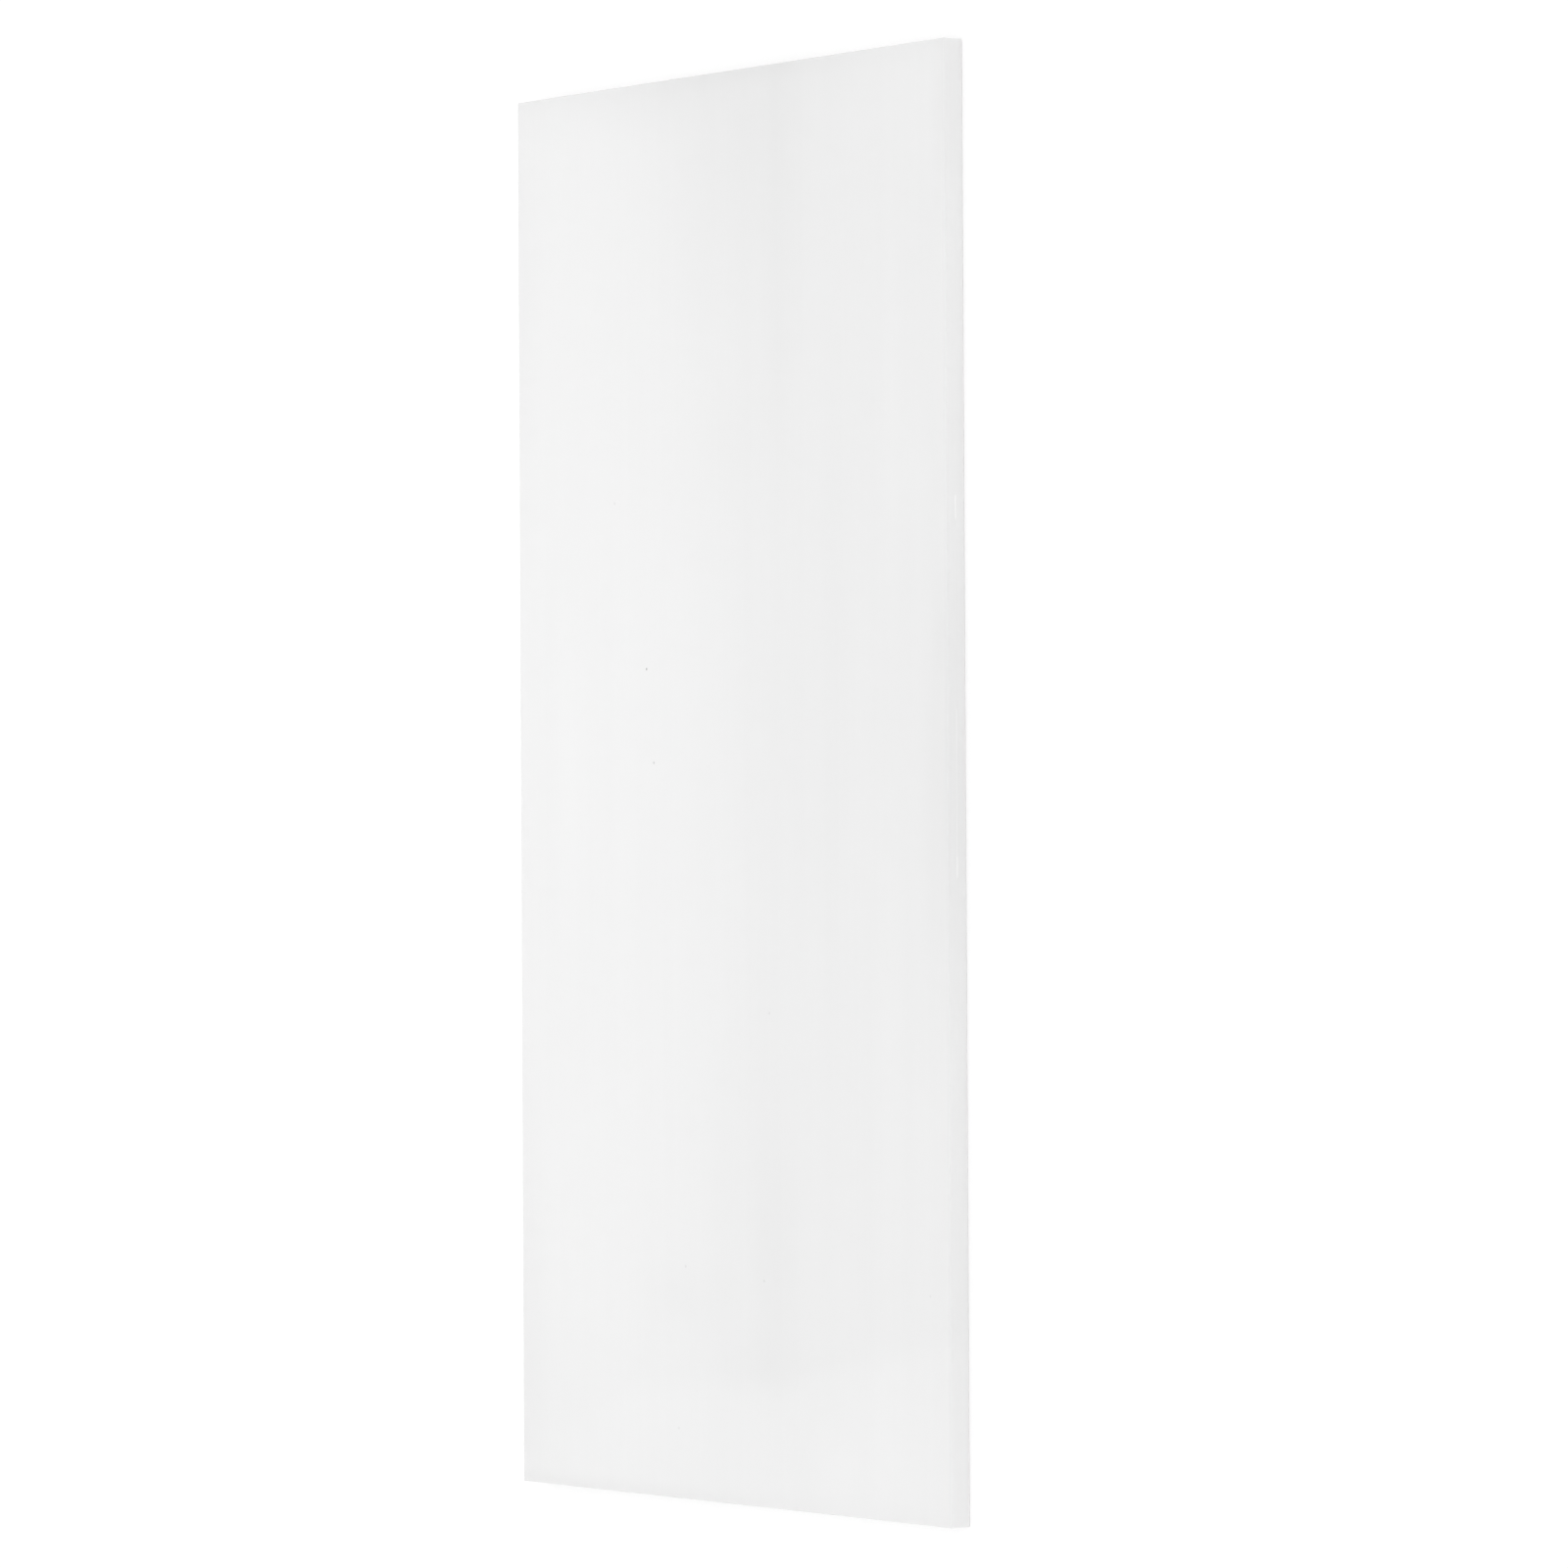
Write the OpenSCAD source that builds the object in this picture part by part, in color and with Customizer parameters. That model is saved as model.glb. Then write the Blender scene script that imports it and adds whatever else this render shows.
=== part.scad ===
// UHMW polyethylene sheet: one rectangular cut sheet of milky natural stock,
// lying on its broad face. X runs across it, Y along it and Z up through it.
// The origin is the middle of the underside.

/* [Sheet] */
// Width across the sheet, 24 inches
sheet_width = 609.6; // [150:0.1:1524]
// Length along the sheet, 48 inches
sheet_length = 1219.2; // [300:0.1:3048]
// Thickness through the sheet, 3/4 inch
sheet_thickness = 19.05; // [6:0.05:101.6]

/* [Edges] */
// Radius scraped onto the arrises round both broad faces
arris_radius = 1; // [0.3:0.1:2.5]
// Radius left on the four upright corners where two saw cuts meet
corner_radius = 1.2; // [0.3:0.1:6]

/* [Hidden] */
// Sides of a whole circle, for every rounding
$fn = 64;
// Milky white of the natural polymer
natural_white = [0.94, 0.94, 0.94];

// A rectangle centred on the origin, with its four corners rounded.
module rounded_rectangle(size_x, size_y, radius) {
    square([size_x - 2 * radius, size_y], center = true);
    square([size_x, size_y - 2 * radius], center = true);
    for (side_x = [-1, 1], side_y = [-1, 1])
        translate([side_x * (size_x / 2 - radius), side_y * (size_y / 2 - radius)])
            circle(r = radius);
}

// The plan outline, drawn up through the thickness.
module plan_prism() {
    linear_extrude(height = sheet_thickness, center = true)
        rounded_rectangle(sheet_width, sheet_length, corner_radius);
}

// The cross section, run along the length: it eases the arrises of the long edges.
module cross_section_prism() {
    rotate([90, 0, 0])
        linear_extrude(height = sheet_length, center = true)
            rounded_rectangle(sheet_width, sheet_thickness, arris_radius);
}

// The long section, run across the width: it eases the arrises of the end edges.
module long_section_prism() {
    rotate([90, 0, 90])
        linear_extrude(height = sheet_width, center = true)
            rounded_rectangle(sheet_length, sheet_thickness, arris_radius);
}

// The sheet is what the plan and the two sections share.
module sheet() {
    color(natural_white)
        translate([0, 0, sheet_thickness / 2])
            intersection() {
                plan_prism();
                cross_section_prism();
                long_section_prism();
            }
}

sheet();
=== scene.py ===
"""A cut sheet of natural UHMW polyethylene, lying on a pale studio floor.

The file is laid out as an add-on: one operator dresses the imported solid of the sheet, and another sets
up the stage. Lengths are metres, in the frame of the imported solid: X runs across the sheet, Y along it
and Z up through it, and the origin is the middle of the underside.
"""

import math

import bpy
from bpy.props import FloatProperty, FloatVectorProperty, PointerProperty
from mathutils import Matrix, Quaternion, Vector, noise


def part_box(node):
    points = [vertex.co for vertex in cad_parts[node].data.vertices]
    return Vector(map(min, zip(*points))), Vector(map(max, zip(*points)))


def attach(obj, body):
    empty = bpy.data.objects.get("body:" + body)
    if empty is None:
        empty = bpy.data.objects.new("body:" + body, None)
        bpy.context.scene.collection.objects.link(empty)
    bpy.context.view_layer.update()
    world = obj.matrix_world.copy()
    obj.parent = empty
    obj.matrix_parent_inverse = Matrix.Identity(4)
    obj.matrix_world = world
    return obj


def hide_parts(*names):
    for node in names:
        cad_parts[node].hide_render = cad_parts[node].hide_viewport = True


bl_info = {
    "name": "UHMW Plastic Sheet",
    "version": (1, 0, 0),
    "blender": (4, 5, 0),
    "location": "3D View > Sidebar > UHMW Sheet",
    "description": "Dresses a cut sheet of natural UHMW polyethylene and sets up its studio stage",
    "category": "Add Mesh",
}

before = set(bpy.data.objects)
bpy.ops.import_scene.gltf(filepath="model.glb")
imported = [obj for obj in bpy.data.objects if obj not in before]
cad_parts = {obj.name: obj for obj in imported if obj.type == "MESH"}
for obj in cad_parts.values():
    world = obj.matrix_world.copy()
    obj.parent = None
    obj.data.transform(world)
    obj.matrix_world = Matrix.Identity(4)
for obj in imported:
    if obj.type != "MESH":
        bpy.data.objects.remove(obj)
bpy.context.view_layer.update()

NODE = "sheet"
BODY = "root"
MATERIAL_SLOT = "natural_uhmw"
PIECE = "uhmw_sheet"

MM = 0.001
QUARTER_TURN = math.tau / 4
WHITE = (1.0, 1.0, 1.0, 1.0)
LOW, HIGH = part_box(NODE)
WIDTH = HIGH.x - LOW.x
LENGTH = HIGH.y - LOW.y
THICKNESS = HIGH.z - LOW.z

# Segments of each quarter round, on an arris and on an upright corner.
ARRIS_STEPS = 5
CORNER_STEPS = 5

# An upright corner turns about a corner of the broad faces' grid, and the section of the edge stays
# outside it. So the corner's radius is never less than the edge relief and the arris radius together.
MOST_EDGE_RELIEF = 0.25 * MM
MOST_ARRIS_RADIUS = 0.95 * MM
LEAST_CORNER_RADIUS = MOST_EDGE_RELIEF + MOST_ARRIS_RADIUS

# Places in the tables below are shares of the sheet's half width across it and half length along it.

# Shallow lines that the skiving knife left along each broad face: place across, half width, depth.
DRAG_LINES = (
    (0.22, 20 * MM, 0.08 * MM),
    (0.49, 9 * MM, 0.03 * MM),
    (-0.30, 14 * MM, 0.03 * MM),
    (-0.705, 11 * MM, 0.02 * MM),
)
# How far the lines wander sideways, and in how many waves to the metre.
KNIFE_WANDER = 2 * MM
KNIFE_WANDER_WAVES = 2.0
# Ripple of the broad faces: depth, waves to the metre across and along, and how far from the middle
# of its noise the layer of each face is taken.
RIPPLE_DEPTH = 0.012 * MM
RIPPLE_WAVES = (70, 1.5)
RIPPLE_LAYER = 5.0
# The lines and the ripple fade out between these distances from the border.
RELIEF_FADE = (1.5 * MM, 20 * MM)

# The witness line is where two passes of the cutter meet, half way through the thickness of each edge.
# Its crest is this high as a share of the edge relief, give or take the second number. Its noise has
# this many waves to the metre, in this layer.
WITNESS_CREST = (0.18, 0.08)
WITNESS_NOISE = (9, 0.0)
# Section of the witness line: height from its middle, and share of its crest.
WITNESS_SECTION = (
    (2.5 * MM, 0),
    (0.7 * MM, 0),
    (0.3 * MM, 0.7),
    (0, 1),
    (-0.3 * MM, 0.7),
    (-0.7 * MM, 0),
    (-2.5 * MM, 0),
)
# Share of the arris radius that the scraper leaves off where it bit least, and the waves to the metre
# and the layer of the noise that sets how deep it bit.
SCRAPE_SPREAD = 0.18
SCRAPE_NOISE = (25, 3.0)

# Soft patches of lighter and darker tone: place across and along, half width and half length as shares
# too, and the tone that each adds at its middle, in the upper face. Those whose place lies 0.975 or more
# from the middle, across or along, are painted shade along the rims and down the edge at +X, apart from
# the narrow one at 1 across and 0.69 along, which is painted light on that edge.
CLOUDS_AND_RIM_SHADE = (
    (0.13, 1.05, 0.66, 0.59, -0.034),
    (0.25, 0.92, 0.15, 0.72, -0.022),
    (-0.26, 1.01, 1.25, 0.108, -0.040),
    (0.07, 0.97, 0.43, 0.05, 0.014),
    (0.91, 0.93, 0.17, 0.17, 0.013),
    (0.03, 0.48, 0.18, 0.11, -0.011),
    (0.23, 0.51, 0.23, 0.25, -0.010),
    (-0.20, 0.18, 0.39, 0.38, 0.009),
    (-0.49, 0.10, 0.21, 0.56, 0.009),
    (-0.74, 0.03, 0.15, 0.33, 0.016),
    (0.76, 0.48, 0.085, 0.31, 0.010),
    (0.64, 0.10, 0.10, 0.92, 0.008),
    (0.50, 0.03, 0.085, 0.75, -0.009),
    (0.24, -0.06, 0.23, 0.79, -0.011),
    (0.75, -0.43, 0.10, 0.43, 0.010),
    (0.13, -0.54, 0.33, 0.49, -0.013),
    (0.22, -0.69, 0.17, 0.30, -0.022),
    (-0.20, -0.71, 0.33, 0.08, -0.014),
    (0.20, -0.81, 0.36, 0.07, -0.015),
    (0.74, -0.92, 0.28, 0.20, 0.017),
    (0.49, -0.94, 0.15, 0.10, 0.018),
    (-0.66, -1.0, 1.12, 0.026, -0.026),
    (-0.84, -0.86, 0.44, 0.19, -0.015),
    (-1.0, -0.74, 0.18, 0.48, -0.032),
    (-1.0, 0.66, 0.15, 0.49, -0.024),
    (1.0, -0.01, 0.18, 0.38, -0.037),
    (1.0, 0.69, 0.010, 0.39, 0.009),
    (1.0, -0.79, 0.013, 0.36, -0.013),
    (0.975, 0.92, 0.055, 0.20, -0.020),
    (0.975, 0.20, 0.055, 0.13, -0.018),
    (0.86, 0.43, 0.10, 0.18, 0.010),
    (0.88, -0.52, 0.15, 0.32, 0.007),
)
# Half height of the patches. It makes them about half as strong in the underside.
PATCH_DEPTH = 2 * THICKNESS

# Paler stretch at the end at -Y: where its border crosses the middle line, as a share of the half
# length, the border's slope and wander, the width over which it fades in, the places across between
# which it fades out towards -X, and the tone that it adds.
PALE_END_START = -0.807
PALE_END_SLOPE = 0.15
PALE_END_WANDER = 60 * MM
PALE_END_FADE = 32 * MM
PALE_END_SIDE = (-0.3, -0.9)
PALE_END_TONE = 0.017

# Noise in the polymer's tone: waves to the metre along each axis, detail, and the swing of the tone.
STREAK_WAVES = (38.0, 0.9, 38.0)
HAZE = ((3.0, 2.0, 8.0), 1.0, 0.024)
STREAKS = (STREAK_WAVES, 2.0, 0.020)
FINE_STREAKS = ((240.0, 2.5, 240.0), 1.0, 0.008)
# How far the streaks swing the roughness of the broad faces.
ROUGHNESS_SPREAD = 0.08

# Painted shade along the borders of the broad faces at +X and at both ends, where light leaks out
# through the edges: reach and tone.
SIDE_SHADE = (6 * MM, -0.012)
END_SHADE = (20 * MM, -0.015)

# Painted light on the edges towards the underside, which lifts the floor's shade there, and more of it
# on the lip
# along the lower arrises: height at which each ends, and tone.
EDGE_FOOT_LIGHT = (9 * MM, 0.008)
LIP_LIGHT = (1.6 * MM, 0.08)
# How far the lip reaches in from the outline.
LIP_WIDTH = 1.3 * MM

# Painted shade on the arrises, which keeps them from showing a light line between the faces that they
# part.
ARRIS_SHADE = -0.034
# The finish of the edges gives way to that of the broad faces between these, where 0 is a spot that
# stands upright and 1 is one that lies level.
ARRIS_BLEND = (0.05, 0.9)

# Specks of scorched polymer in the upper face: place across and along, radius, and how dark each is.
SPECKS = (
    (-0.374, 0.169, 1.7 * MM, 0.58),
    (-0.341, 0.036, 1.9 * MM, 0.30),
    (-0.525, 0.407, 2.2 * MM, 0.10),
    (-0.200, -0.673, 2.1 * MM, 0.11),
    (0.167, -0.686, 1.9 * MM, 0.13),
    (0.912, -0.691, 1.8 * MM, 0.08),
    (-0.236, -0.901, 2.0 * MM, 0.10),
    (0.197, -0.315, 1.9 * MM, 0.12),
)

# Stretches of the long edge at +X where the witness line stands proud and carries a painted glint: their
# ends along, and the tone of the painted glint. The second is the end of the first where the painted
# glint is brightest.
PROUD_GLINT_STRETCHES = (
    (-0.130, 0.102, 0.05),
    (-0.130, -0.098, 0.07),
    (0.351, 0.387, 0.11),
)
# A stretch starts to rise this far outside its end, and stands full height this far inside it.
PROUD_RISE = (4 * MM, 2 * MM)
# The painted glint fades out from this far inside the end of a stretch to this far outside it.
GLINT_FADE = (3 * MM, 1 * MM)
GLINT_HALF_WIDTH = 1.2 * MM
# What lies within this of the outline at +X is on that edge.
EDGE_SKIN = 1 * MM

# A station on the long edge at +X, clear of the corners, faces outward with more than this in X.
STRAIGHT_OUT = 0.99

# Marks of the saw on the edges: pitch, depth, and lean through the thickness.
SAW_PITCH = 1.9 * MM
SAW_DEPTH = 0.012 * MM
SAW_LEAN = 0.3
# Noise that shifts the marks, as waves to the metre along each axis and radians of their wave, and
# noise that makes them patchy.
SAW_WANDER = ((60.0, 60.0, 20.0), 9.0)
SAW_PATCHES = (35.0, 35.0, 90.0)
# The marks follow each other along the sheet where the normal has more than this in X, as on its long
# edges, and across it elsewhere.
LONG_EDGE_NORMAL = 0.7
# Finest knife lines and satin grain of the broad faces: waves to the metre, detail and depth.
KNIFE_LINES = ((420.0, 5.0, 420.0), 2.0, 0.006 * MM)
SATIN_GRAIN = ((1800.0, 900.0, 1800.0), 1.0, 0.002 * MM)

# Refractive index of polyethylene, and how far red, green and blue light spread beside each other.
POLYMER_IOR = 1.53
EVEN_SCATTER = (1.0, 1.0, 1.0)

# What the floor adds, where it is seen, to come out white beside the sheet.
FLOOR_GLOW = 0.165
# How far the floor lies below the sheet, so that the two don't share a plane.
FLOOR_GAP = 0.05 * MM

# Width and height of the softbox, and the place on the upper face where the camera sees it mirrored.
SOFTBOX_SIZE = (0.29, 1.66)
MIRROR_SPOT = (-0.94, 0.02)
# Width and height of the fill light, the place that it faces, and its elevation and distance from it.
FILL_SIZE = (1.2, 2.5)
FILL_SPOT = (1, 0)
FILL_ELEVATION = math.radians(16)
FILL_DISTANCE = 2.5

# Place on the upper face that the camera looks at, its sensor's width in millimetres, and how far it
# sees, in floor sizes.
CAMERA_SPOT = (0.27, 0.002)
SENSOR_WIDTH = 36
CAMERA_REACH = 10


class SheetSettings(bpy.types.PropertyGroup):
    """Sizes and finish of the sheet."""

    arris_radius: FloatProperty(
        name="Arris radius",
        description="Largest radius scraped onto the edges of the broad faces",
        default=0.95 * MM,
        min=0.3 * MM,
        max=MOST_ARRIS_RADIUS,
        precision=5,
        unit="LENGTH",
    )
    corner_radius: FloatProperty(
        name="Corner radius",
        description="Radius of the four upright corners",
        default=LEAST_CORNER_RADIUS,
        min=LEAST_CORNER_RADIUS,
        max=6 * MM,
        precision=5,
        unit="LENGTH",
    )
    cell_across: FloatProperty(
        name="Cell across",
        description="Width of the mesh cells of the broad faces",
        default=5 * MM,
        min=2 * MM,
        max=50 * MM,
        precision=4,
        unit="LENGTH",
    )
    cell_along: FloatProperty(
        name="Cell along",
        description="Length of the mesh cells of the broad faces",
        default=8 * MM,
        min=2 * MM,
        max=50 * MM,
        precision=4,
        unit="LENGTH",
    )
    edge_relief: FloatProperty(
        name="Edge relief",
        description="Depth of the sawn edges below their witness line where it stands proud",
        default=0.2 * MM,
        min=0,
        max=MOST_EDGE_RELIEF,
        precision=5,
        unit="LENGTH",
    )
    polymer_colour: FloatVectorProperty(
        name="Polymer colour",
        description="Milky white of the natural polymer",
        default=(0.87, 0.87, 0.87),
        min=0,
        max=1,
        subtype="COLOR",
    )
    scatter_share: FloatProperty(
        name="Scatter share",
        description="Share of the light that spreads inside the polymer before it comes out",
        default=0.2,
        min=0,
        max=1,
        subtype="FACTOR",
    )
    scatter_depth: FloatProperty(
        name="Scatter depth",
        description="How far light spreads in the milky polymer",
        default=2.5 * MM,
        min=0.5 * MM,
        max=20 * MM,
        precision=4,
        unit="LENGTH",
    )
    face_roughness: FloatProperty(
        name="Face roughness",
        description="Roughness of the satin broad faces",
        default=0.19,
        min=0,
        max=1,
        subtype="FACTOR",
    )
    edge_roughness: FloatProperty(
        name="Edge roughness",
        description="Roughness of the sawn edges",
        default=0.45,
        min=0,
        max=1,
        subtype="FACTOR",
    )


class StageSettings(bpy.types.PropertyGroup):
    """Floor, light and camera round the sheet."""

    floor_size: FloatProperty(
        name="Floor size",
        description="Side of the square floor",
        default=60,
        min=5,
        max=200,
        unit="LENGTH",
    )
    floor_colour: FloatVectorProperty(
        name="Floor colour",
        description="Pale colour of the floor",
        default=(0.92, 0.92, 0.92),
        min=0,
        max=1,
        subtype="COLOR",
    )
    sky_level: FloatProperty(
        name="Room light",
        description="Strength of the even light from all round",
        default=0.957,
        min=0,
        max=2,
    )
    softbox_power: FloatProperty(
        name="Softbox power",
        description="Power of the oval softbox beyond the far long edge",
        default=0.77,
        min=0,
        max=100,
        unit="POWER",
    )
    softbox_distance: FloatProperty(
        name="Softbox distance",
        description="Distance of the softbox from the sheet",
        default=1.25,
        min=0.5,
        max=10,
        unit="LENGTH",
    )
    fill_power: FloatProperty(
        name="Fill power",
        description="Power of the broad fill light on the camera's side",
        default=2.6,
        min=0,
        max=200,
        unit="POWER",
    )
    lens: FloatProperty(
        name="Lens",
        description="Focal length on a 36 mm wide sensor, in millimetres",
        default=165.55,
        min=20,
        max=400,
        subtype="DISTANCE_CAMERA",
    )
    camera_distance: FloatProperty(
        name="Camera distance",
        description="Distance from the camera to the point that it looks at",
        default=6.07,
        min=1,
        max=50,
        unit="LENGTH",
    )
    camera_azimuth: FloatProperty(
        name="Camera azimuth",
        description="Way the camera looks: 0 along +Y, 90 along -X",
        default=math.radians(89.1),
        subtype="ANGLE",
        unit="ROTATION",
    )
    camera_elevation: FloatProperty(
        name="Camera elevation",
        description="Angle at which the camera looks down on the sheet",
        default=math.radians(37.03),
        subtype="ANGLE",
        unit="ROTATION",
    )
    camera_roll: FloatProperty(
        name="Camera roll",
        description="Turn of the camera to its right, which sets the sheet upright in the view",
        default=math.radians(89.75),
        subtype="ANGLE",
        unit="ROTATION",
    )


def on_face(across, along):
    """Point of the upper face at these shares of the sheet's half width and half length."""
    return Vector((across * WIDTH / 2, along * LENGTH / 2, HIGH.z))


def smooth_step(value, low, high):
    """0 below low, 1 above high, and a soft rise between them."""
    share = min(1.0, max(0.0, (value - low) / (high - low)))
    return share * share * (3 - 2 * share)


def even_steps(half_span, pitch):
    """Places from -half_span to half_span, about a pitch apart."""
    count = max(1, round(2 * half_span / pitch))
    return [half_span * (2 * i / count - 1) for i in range(count + 1)]


def drag_relief(across, along, side):
    """Depth of the relief at a spot of one broad face, which fades out towards the arrises."""
    depth = 0.0
    for share, half_width, line_depth in DRAG_LINES:
        place = share * WIDTH / 2
        wander = KNIFE_WANDER * noise.noise(Vector((KNIFE_WANDER_WAVES * along, place, side)))
        offset = (across - place * side - wander) / half_width
        depth += line_depth * math.exp(-offset * offset)
    waves_across, waves_along = RIPPLE_WAVES
    ripple = noise.noise(Vector((waves_across * across, waves_along * along, RIPPLE_LAYER * side)))
    depth += RIPPLE_DEPTH * (1 + ripple)
    border = min(WIDTH / 2 - abs(across), LENGTH / 2 - abs(along))
    return depth * smooth_step(border, *RELIEF_FADE)


def outline_stations(columns, rows):
    """Stations round the plan outline, anticlockwise from the corner at +X and -Y.

    Each has the grid point that it springs from, as column and row, and its outward direction. A
    straight side has a station at each grid line, and an upright corner turns about one grid point.
    """
    last_column = len(columns) - 1
    last_row = len(rows) - 1
    sides = (
        ([(last_column, j) for j in range(last_row + 1)], 0.0),
        ([(i, last_row) for i in range(last_column, -1, -1)], QUARTER_TURN),
        ([(0, j) for j in range(last_row, -1, -1)], 2 * QUARTER_TURN),
        ([(i, 0) for i in range(last_column + 1)], 3 * QUARTER_TURN),
    )
    stations = []
    for grid_points, angle in sides:
        straight = Vector((math.cos(angle), math.sin(angle)))
        stations += [(point, straight) for point in grid_points]
        for step in range(1, CORNER_STEPS):
            turned = angle + QUARTER_TURN * step / CORNER_STEPS
            stations.append((grid_points[-1], Vector((math.cos(turned), math.sin(turned)))))
    return stations


def outline_noise(place, waves, layer):
    """Noise from -1 to 1 along the plan outline, with this many waves to the metre."""
    return noise.noise(Vector((waves * place.x, waves * place.y, layer)))


def witness_height(place, outward):
    """Height of the witness line's crest at one station, as a share of the edge relief."""
    usual, spread = WITNESS_CREST
    height = usual + spread * outline_noise(place, *WITNESS_NOISE)
    if outward.x > STRAIGHT_OUT:
        outside, inside = PROUD_RISE
        for start, end, _ in PROUD_GLINT_STRETCHES:
            low = start * LENGTH / 2
            high = end * LENGTH / 2
            rise = smooth_step(place.y, low - outside, low + inside)
            fall = smooth_step(place.y, high - inside, high + outside)
            height = max(height, rise * (1 - fall))
    return height


def edge_profile(settings, place, outward):
    """Section through the edge at one station: insets and heights, from the upper face down."""
    scrape = 0.5 + 0.5 * outline_noise(place, *SCRAPE_NOISE)
    relief = settings.edge_relief
    radius = settings.arris_radius * (1 - SCRAPE_SPREAD * scrape)
    crest = witness_height(place, outward) * relief
    upper = []
    for step in range(ARRIS_STEPS + 1):
        turn = QUARTER_TURN * step / ARRIS_STEPS
        upper.append((relief + radius * (1 - math.sin(turn)), radius * (1 - math.cos(turn))))
    profile = [(inset, THICKNESS - drop) for inset, drop in upper]
    for lift, share in WITNESS_SECTION:
        profile.append((relief - crest * share, THICKNESS / 2 + lift))
    profile += [(inset, drop) for inset, drop in reversed(upper)]
    return profile


def grid_number(rows, point):
    """Number of a grid point, given as column and row, among the points of its broad face."""
    column, row = point
    return column * len(rows) + row


def add_broad_face(points, faces, columns, rows, side):
    """Adds the gridded upper face (side 1) or lower one (side -1), and gives its first number."""
    first = len(points)
    for across in columns:
        for along in rows:
            depth = drag_relief(across, along, side)
            points.append((across, along, THICKNESS - depth if side > 0 else depth))
    for i in range(len(columns) - 1):
        for j in range(len(rows) - 1):
            corners = [(i, j), (i + 1, j), (i + 1, j + 1), (i, j + 1)]
            faces.append([first + grid_number(rows, corner) for corner in corners[::side]])
    return first


def add_edge_section(points, settings, place, outward):
    """Adds the points of the section through the edge at one station, and gives their numbers."""
    first = len(points)
    for inset, height in edge_profile(settings, place, outward):
        spot = place + outward * (settings.corner_radius - inset)
        points.append((spot.x, spot.y, height))
    return range(first, len(points))


def sheet_mesh(settings):
    """The sheet as one closed mesh: two gridded broad faces joined by a ring of edge sections."""
    columns = even_steps(WIDTH / 2 - settings.corner_radius, settings.cell_across)
    rows = even_steps(LENGTH / 2 - settings.corner_radius, settings.cell_along)
    points = []
    faces = []
    firsts = {}
    for side in (1, -1):
        firsts[side] = add_broad_face(points, faces, columns, rows, side)

    ring = []
    for (i, j), outward in outline_stations(columns, rows):
        place = Vector((columns[i], rows[j]))
        ring.append(((i, j), add_edge_section(points, settings, place, outward)))

    for (here, section), (there, following) in zip(ring, ring[1:] + ring[:1]):
        quads = zip(section, section[1:], following[1:], following)
        faces += [list(quad) for quad in quads]
        for side, end in ((1, 0), (-1, -1)):
            strip = [firsts[side] + grid_number(rows, here), section[end], following[end]]
            if there != here:
                strip.append(firsts[side] + grid_number(rows, there))
            faces.append(strip[::side])

    mesh = bpy.data.meshes.new(PIECE)
    mesh.from_pydata(points, [], faces)
    mesh.validate()
    mesh.shade_smooth()
    return mesh


class ShaderTree:
    """The node tree of one material or world, with calls that add a node and give back its output."""

    def __init__(self, owner):
        owner.use_nodes = True
        self.nodes = owner.node_tree.nodes
        self.links = owner.node_tree.links
        self.nodes.clear()

    def add(self, kind, inputs=None, **options):
        """Adds a node, sets its options, and links or sets its named inputs."""
        node = self.nodes.new(kind)
        for option, value in options.items():
            setattr(node, option, value)
        for name, value in (inputs or {}).items():
            self.feed(node.inputs[name], value)
        return node

    def feed(self, socket, value):
        """Links an output to the socket, or sets a plain value on it."""
        if isinstance(value, bpy.types.NodeSocket):
            self.links.new(value, socket)
        else:
            socket.default_value = value

    def math(self, operation, *values):
        """The result of a sum on numbers."""
        node = self.add("ShaderNodeMath", operation=operation)
        for socket, value in zip(node.inputs, values):
            self.feed(socket, value)
        return node.outputs["Value"]

    def vector(self, operation, first, second, output="Vector"):
        """The result of a sum on two vectors."""
        node = self.add("ShaderNodeVectorMath", operation=operation)
        self.feed(node.inputs[0], first)
        self.feed(node.inputs[1], second)
        return node.outputs[output]

    def noise(self, place, stretch, detail=1.0):
        """Noise from 0 to 1, with stretch waves to the metre along each axis."""
        stretched = self.vector("MULTIPLY", place, stretch)
        inputs = {"Vector": stretched, "Scale": 1.0, "Detail": detail}
        return self.add("ShaderNodeTexNoise", inputs).outputs["Fac"]

    def ramp(self, value, low, high, low_result=0.0, high_result=1.0):
        """A soft rise from low_result at low to high_result at high."""
        inputs = {
            "Value": value,
            "From Min": low,
            "From Max": high,
            "To Min": low_result,
            "To Max": high_result,
        }
        node = self.add("ShaderNodeMapRange", inputs, interpolation_type="SMOOTHSTEP")
        return node.outputs["Result"]

    def soft_spot(self, place, centre, half_sizes):
        """1 at the centre, falling softly to 0 at half_sizes from it."""
        scale = Vector([1 / half for half in half_sizes])
        scaled = self.vector("MULTIPLY", place, scale)
        distance = self.vector("DISTANCE", scaled, centre * scale, "Value")
        return self.ramp(distance, 0.0, 1.0, 1.0, 0.0)


def edge_share(tree):
    """1 on the sawn edges, 0 on the broad faces, and between them on the arrises."""
    normal = tree.add("ShaderNodeNewGeometry").outputs["Normal"]
    parts = tree.add("ShaderNodeSeparateXYZ", {"Vector": normal})
    flatness = tree.math("ABSOLUTE", parts.outputs["Z"])
    return tree.ramp(flatness, *ARRIS_BLEND, 1.0, 0.0)


def pale_end(tree, across, along, haze):
    """1 in the paler stretch at the end at -Y, whose border wanders and which fades out towards -X."""
    slanted = tree.math("MULTIPLY_ADD", across, -PALE_END_SLOPE, along)
    slanted = tree.math("MULTIPLY_ADD", haze, PALE_END_WANDER, slanted)
    start = PALE_END_START * LENGTH / 2
    inside = tree.ramp(slanted, start - PALE_END_FADE, start, 1.0, 0.0)
    full, gone = (share * WIDTH / 2 for share in PALE_END_SIDE)
    return tree.math("MULTIPLY", inside, tree.ramp(across, gone, full))


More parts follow.
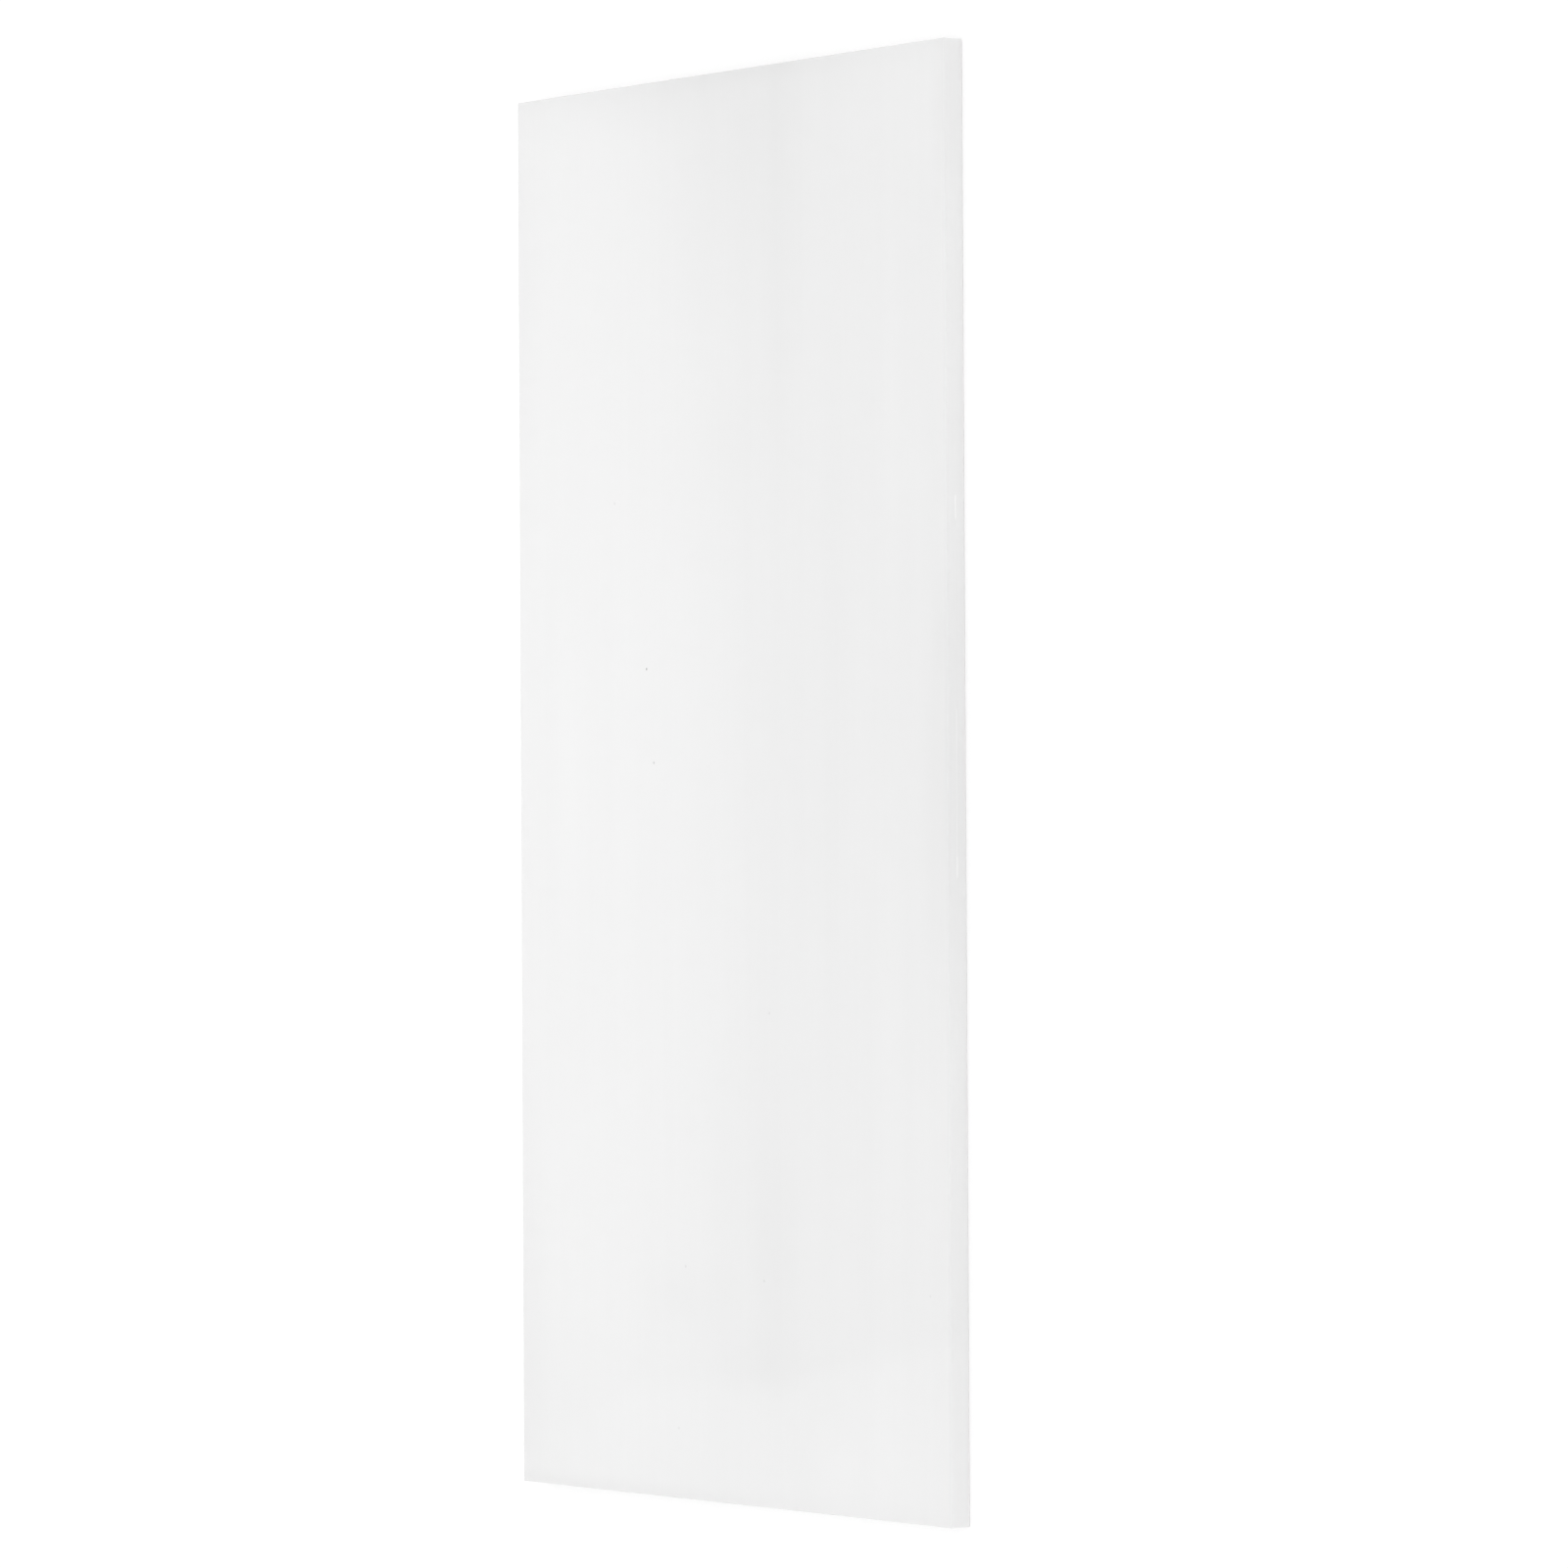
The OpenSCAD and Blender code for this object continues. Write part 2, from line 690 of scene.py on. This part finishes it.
def painted_rim_shading(tree, across, along, height, edges):
    """Painted shade on the faces' borders and on the arrises, and painted light on the lower side of the
    edges and their lip.
    """
    from_side = tree.math("SUBTRACT", WIDTH / 2, tree.math("ABSOLUTE", across))
    from_end = tree.math("SUBTRACT", LENGTH / 2, tree.math("ABSOLUTE", along))
    from_shaded_side = tree.math("SUBTRACT", WIDTH / 2, across)
    shades = []
    # Painted shade along the borders of the broad faces.
    for distance, (reach, amount) in ((from_shaded_side, SIDE_SHADE), (from_end, END_SHADE)):
        shades.append(tree.ramp(distance, 0.0, reach, amount, 0.0))
    flat = tree.math("SUBTRACT", 1.0, edges)
    tone = tree.math("MULTIPLY", tree.math("ADD", *shades), flat)
    # Painted shade on the arrises. Part of the way round an arris both shares are a half, and four times
    # their product is 1 there.
    tone = tree.math("MULTIPLY_ADD", tree.math("MULTIPLY", edges, flat), 4 * ARRIS_SHADE, tone)
    lip = tree.math("LESS_THAN", tree.math("MINIMUM", from_side, from_end), LIP_WIDTH)
    # Painted light on the lower side of the edges, and more of it on their lip.
    for (top, amount), share in ((EDGE_FOOT_LIGHT, edges), (LIP_LIGHT, lip)):
        tone = tree.math("MULTIPLY_ADD", tree.ramp(height, 0.0, top, amount, 0.0), share, tone)
    return tone


def painted_crest_glint(tree, across, along, height):
    """Painted glint on the witness line, along the stretches where it stands proud."""
    inside, outside = GLINT_FADE
    glint = 0.0
    for start, end, tone in PROUD_GLINT_STRETCHES:
        low = start * LENGTH / 2
        high = end * LENGTH / 2
        half_length = (high - low) / 2
        from_middle = tree.math("ABSOLUTE", tree.math("SUBTRACT", along, (low + high) / 2))
        stretch = tree.ramp(from_middle, half_length - inside, half_length + outside, tone, 0.0)
        glint = tree.math("ADD", glint, stretch)
    from_line = tree.math("ABSOLUTE", tree.math("SUBTRACT", height, THICKNESS / 2))
    crest = tree.ramp(from_line, 0.0, GLINT_HALF_WIDTH, 1.0, 0.0)
    at_edge = tree.math("GREATER_THAN", across, HIGH.x - EDGE_SKIN)
    return tree.math("MULTIPLY", tree.math("MULTIPLY", glint, crest), at_edge)


def polymer_tone(tree, place, edges):
    """How light the polymer is beside its plain colour, from its streaks, specks and soft patches, with
    painted shade at its rims and arrises, painted light on the lower side of its edges and a painted
    glint on the witness line.
    """
    parts = tree.add("ShaderNodeSeparateXYZ", {"Vector": place})
    across, along, height = (parts.outputs[axis] for axis in "XYZ")
    swings = []
    tone = 1.0
    for waves, detail, swing in (HAZE, STREAKS, FINE_STREAKS):
        swings.append(tree.math("SUBTRACT", tree.noise(place, waves, detail), 0.5))
        tone = tree.math("MULTIPLY_ADD", swings[-1], swing, tone)
    # Soft patches of tone; those at the rims are painted shade, and one on the edge at +X is painted
    # light.
    for patch_x, patch_y, half_width, half_length, amount in CLOUDS_AND_RIM_SHADE:
        half_sizes = (half_width * WIDTH / 2, half_length * LENGTH / 2, PATCH_DEPTH)
        spot = tree.soft_spot(place, on_face(patch_x, patch_y), half_sizes)
        tone = tree.math("MULTIPLY_ADD", spot, amount, tone)
    for speck_x, speck_y, radius, darkness in SPECKS:
        spot = tree.soft_spot(place, on_face(speck_x, speck_y), (radius, radius, radius))
        tone = tree.math("MULTIPLY_ADD", spot, -darkness, tone)
    tone = tree.math("MULTIPLY_ADD", pale_end(tree, across, along, swings[0]), PALE_END_TONE, tone)
    tone = tree.math("ADD", painted_rim_shading(tree, across, along, height, edges), tone)
    return tree.math("ADD", painted_crest_glint(tree, across, along, height), tone)


def saw_marks(tree, place):
    """Height of the saw's marks across the edges, which run a little aslant through the thickness."""
    normal = tree.add("ShaderNodeNewGeometry").outputs["Normal"]
    facing = tree.add("ShaderNodeSeparateXYZ", {"Vector": normal})
    parts = tree.add("ShaderNodeSeparateXYZ", {"Vector": place})
    across, along, height = (parts.outputs[axis] for axis in "XYZ")
    turned = tree.math("ABSOLUTE", facing.outputs["X"])
    long_edge = tree.math("GREATER_THAN", turned, LONG_EDGE_NORMAL)
    run = tree.add("ShaderNodeMix", {"Factor": long_edge, "A": across, "B": along})
    slanted = tree.math("MULTIPLY_ADD", height, SAW_LEAN, run.outputs["Result"])
    wander_waves, wander = SAW_WANDER
    drift = tree.math("MULTIPLY", tree.noise(place, wander_waves), wander)
    turns = tree.math("MULTIPLY_ADD", slanted, math.tau / SAW_PITCH, drift)
    wave = tree.math("SINE", turns)
    patchy = tree.noise(place, SAW_PATCHES)
    return tree.math("MULTIPLY", tree.math("MULTIPLY", wave, SAW_DEPTH), patchy)


def face_grain(tree, place):
    """Height of the broad faces' fine knife lines and of their satin grain."""
    height = 0.0
    for waves, detail, depth in (KNIFE_LINES, SATIN_GRAIN):
        height = tree.math("MULTIPLY_ADD", tree.noise(place, waves, detail), depth, height)
    return height


def natural_uhmw(settings):
    """Milky, faintly streaked polymer: satin on the broad faces and finely saw-marked on the edges."""
    material = bpy.data.materials.new(MATERIAL_SLOT)
    tree = ShaderTree(material)
    place = tree.add("ShaderNodeTexCoord").outputs["Object"]
    edges = edge_share(tree)
    tone = polymer_tone(tree, place, edges)
    colour = tree.add("ShaderNodeVectorMath", {"Vector": settings.polymer_colour}, operation="SCALE")
    tree.feed(colour.inputs["Scale"], tone)
    smoothest = settings.face_roughness - ROUGHNESS_SPREAD / 2
    streaky = tree.noise(place, STREAK_WAVES)
    satin = tree.math("MULTIPLY_ADD", streaky, ROUGHNESS_SPREAD, smoothest)
    roughness = tree.add("ShaderNodeMix", {"Factor": edges, "A": satin, "B": settings.edge_roughness})
    reliefs = {"Factor": edges, "A": face_grain(tree, place), "B": saw_marks(tree, place)}
    height = tree.add("ShaderNodeMix", reliefs)
    bump = tree.add("ShaderNodeBump", {"Height": height.outputs["Result"], "Distance": 1.0})
    shader = tree.add(
        "ShaderNodeBsdfPrincipled",
        {
            "Base Color": colour.outputs["Vector"],
            "Roughness": roughness.outputs["Result"],
            "IOR": POLYMER_IOR,
            "Normal": bump.outputs["Normal"],
            "Subsurface Weight": settings.scatter_share,
            "Subsurface Radius": EVEN_SCATTER,
            "Subsurface Scale": settings.scatter_depth,
        },
        subsurface_method="BURLEY",
    )
    tree.add("ShaderNodeOutputMaterial", {"Surface": shader.outputs["BSDF"]})
    return material


def seen_directly(tree):
    """1 for what the camera sees, be it in a gloss or through a clear thing, and 0 for other light."""
    path = tree.add("ShaderNodeLightPath").outputs
    direct = tree.math("MAXIMUM", path["Is Camera Ray"], path["Is Glossy Ray"])
    return tree.math("MAXIMUM", direct, path["Is Transmission Ray"])


def floor_material(settings):
    """Pale matt floor that is seen as white and keeps the sheet's soft shadow."""
    material = bpy.data.materials.new("studio_floor")
    tree = ShaderTree(material)
    matt = tree.add("ShaderNodeBsdfDiffuse", {"Color": (*settings.floor_colour, 1.0)})
    glow = tree.add("ShaderNodeEmission", {"Color": WHITE, "Strength": FLOOR_GLOW})
    white = tree.add("ShaderNodeAddShader")
    tree.feed(white.inputs[0], matt.outputs["BSDF"])
    tree.feed(white.inputs[1], glow.outputs["Emission"])
    mix = tree.add("ShaderNodeMixShader", {"Fac": seen_directly(tree)})
    tree.feed(mix.inputs[1], matt.outputs["BSDF"])
    tree.feed(mix.inputs[2], white.outputs["Shader"])
    tree.add("ShaderNodeOutputMaterial", {"Surface": mix.outputs["Shader"]})
    return material


def add_floor(settings):
    """Level floor under the sheet."""
    half = settings.floor_size / 2
    level = LOW.z - FLOOR_GAP
    corners = [(-half, -half, level), (half, -half, level), (half, half, level), (-half, half, level)]
    mesh = bpy.data.meshes.new("studio_floor")
    mesh.from_pydata(corners, [], [(0, 1, 2, 3)])
    mesh.materials.append(floor_material(settings))
    floor = bpy.data.objects.new("studio_floor", mesh)
    bpy.context.scene.collection.objects.link(floor)


def add_room_light(settings):
    """Even light from all round, seen as white."""
    world = bpy.data.worlds.new("studio_room")
    tree = ShaderTree(world)
    direct = seen_directly(tree)
    level = tree.add("ShaderNodeMix", {"Factor": direct, "A": settings.sky_level, "B": 1.0})
    sky = tree.add("ShaderNodeBackground", {"Color": WHITE})
    tree.feed(sky.inputs["Strength"], level.outputs["Result"])
    tree.add("ShaderNodeOutputWorld", {"Surface": sky.outputs["Background"]})
    bpy.context.scene.world = world


def camera_back(settings):
    """Direction from the sheet to the camera."""
    azimuth = settings.camera_azimuth
    elevation = settings.camera_elevation
    level = math.cos(elevation)
    return Vector((math.sin(azimuth) * level, -math.cos(azimuth) * level, math.sin(elevation)))


def add_light(name, shape, size, power, aim, direction, distance):
    """Soft lamp of this width and height, which faces its aim from this direction and distance."""
    light = bpy.data.lights.new(name, "AREA")
    light.shape = shape
    light.size, light.size_y = size
    light.energy = power
    width_axis = Vector((0, 1, 0)).cross(direction).normalized()
    height_axis = direction.cross(width_axis)
    turn = Matrix((width_axis, height_axis, direction)).transposed().to_4x4()
    lamp = bpy.data.objects.new(name, light)
    lamp.matrix_world = Matrix.Translation(aim + direction * distance) @ turn
    lamp.visible_camera = False
    bpy.context.scene.collection.objects.link(lamp)


def add_softbox(settings):
    """Oval softbox that the far half of the sheet mirrors towards the camera."""
    back = camera_back(settings)
    mirrored = Vector((-back.x, -back.y, back.z))
    aim = on_face(*MIRROR_SPOT)
    power = settings.softbox_power
    add_light("softbox", "ELLIPSE", SOFTBOX_SIZE, power, aim, mirrored, settings.softbox_distance)


def add_fill(settings):
    """Broad fill light that stands low on the camera's side and lifts the sawn edge."""
    direction = Vector((math.cos(FILL_ELEVATION), 0, math.sin(FILL_ELEVATION)))
    aim = on_face(*FILL_SPOT)
    add_light("fill", "RECTANGLE", FILL_SIZE, settings.fill_power, aim, direction, FILL_DISTANCE)


def add_camera(settings):
    """Camera that looks down on the sheet, rolled so that the sheet's length stands upright."""
    back = camera_back(settings)
    data = bpy.data.cameras.new("camera")
    data.sensor_width = SENSOR_WIDTH
    data.lens = settings.lens
    data.clip_end = CAMERA_REACH * settings.floor_size
    camera = bpy.data.objects.new("camera", data)
    camera.location = on_face(*CAMERA_SPOT) + back * settings.camera_distance
    camera.rotation_mode = "QUATERNION"
    level_view = back.to_track_quat("Z", "Y")
    camera.rotation_quaternion = level_view @ Quaternion((0, 0, 1), -settings.camera_roll)
    bpy.context.scene.collection.objects.link(camera)
    bpy.context.scene.camera = camera


class UHMW_OT_dress_sheet(bpy.types.Operator):
    """Build the sheet with its eased arrises, knife lines and sawn edges, and give it its finish"""

    bl_idname = "uhmw.dress_sheet"
    bl_label = "Dress Sheet"
    bl_options = {"REGISTER", "UNDO"}

    def execute(self, context):
        settings = context.scene.uhmw_sheet
        mesh = sheet_mesh(settings)
        mesh.materials.append(natural_uhmw(settings))
        piece = bpy.data.objects.new(PIECE, mesh)
        context.scene.collection.objects.link(piece)
        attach(piece, BODY)
        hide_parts(NODE)
        return {"FINISHED"}


class UHMW_OT_set_stage(bpy.types.Operator):
    """Lay the floor, light the room and place the camera"""

    bl_idname = "uhmw.set_stage"
    bl_label = "Set Stage"
    bl_options = {"REGISTER", "UNDO"}

    def execute(self, context):
        settings = context.scene.uhmw_stage
        add_floor(settings)
        add_room_light(settings)
        add_softbox(settings)
        add_fill(settings)
        add_camera(settings)
        context.scene.view_settings.view_transform = "Standard"
        return {"FINISHED"}


class UHMW_PT_sidebar(bpy.types.Panel):
    """Settings and steps of the sheet and its stage"""

    bl_idname = "UHMW_PT_sidebar"
    bl_label = "UHMW Sheet"
    bl_space_type = "VIEW_3D"
    bl_region_type = "UI"
    bl_category = "UHMW Sheet"

    def draw(self, context):
        for settings, operator in (
            (context.scene.uhmw_sheet, UHMW_OT_dress_sheet),
            (context.scene.uhmw_stage, UHMW_OT_set_stage),
        ):
            column = self.layout.column()
            for name in settings.__annotations__:
                column.prop(settings, name)
            column.operator(operator.bl_idname)


CLASSES = (SheetSettings, StageSettings, UHMW_OT_dress_sheet, UHMW_OT_set_stage, UHMW_PT_sidebar)


def register():
    """Adds the classes, and the settings that each scene keeps."""
    for cls in CLASSES:
        bpy.utils.register_class(cls)
    bpy.types.Scene.uhmw_sheet = PointerProperty(type=SheetSettings)
    bpy.types.Scene.uhmw_stage = PointerProperty(type=StageSettings)


def unregister():
    """Takes the settings and the classes away again."""
    del bpy.types.Scene.uhmw_stage
    del bpy.types.Scene.uhmw_sheet
    for cls in reversed(CLASSES):
        bpy.utils.unregister_class(cls)


def main():
    """Runs the add-on's steps in order."""
    register()
    bpy.ops.uhmw.dress_sheet()
    bpy.ops.uhmw.set_stage()


if __name__ == "__main__":
    main()
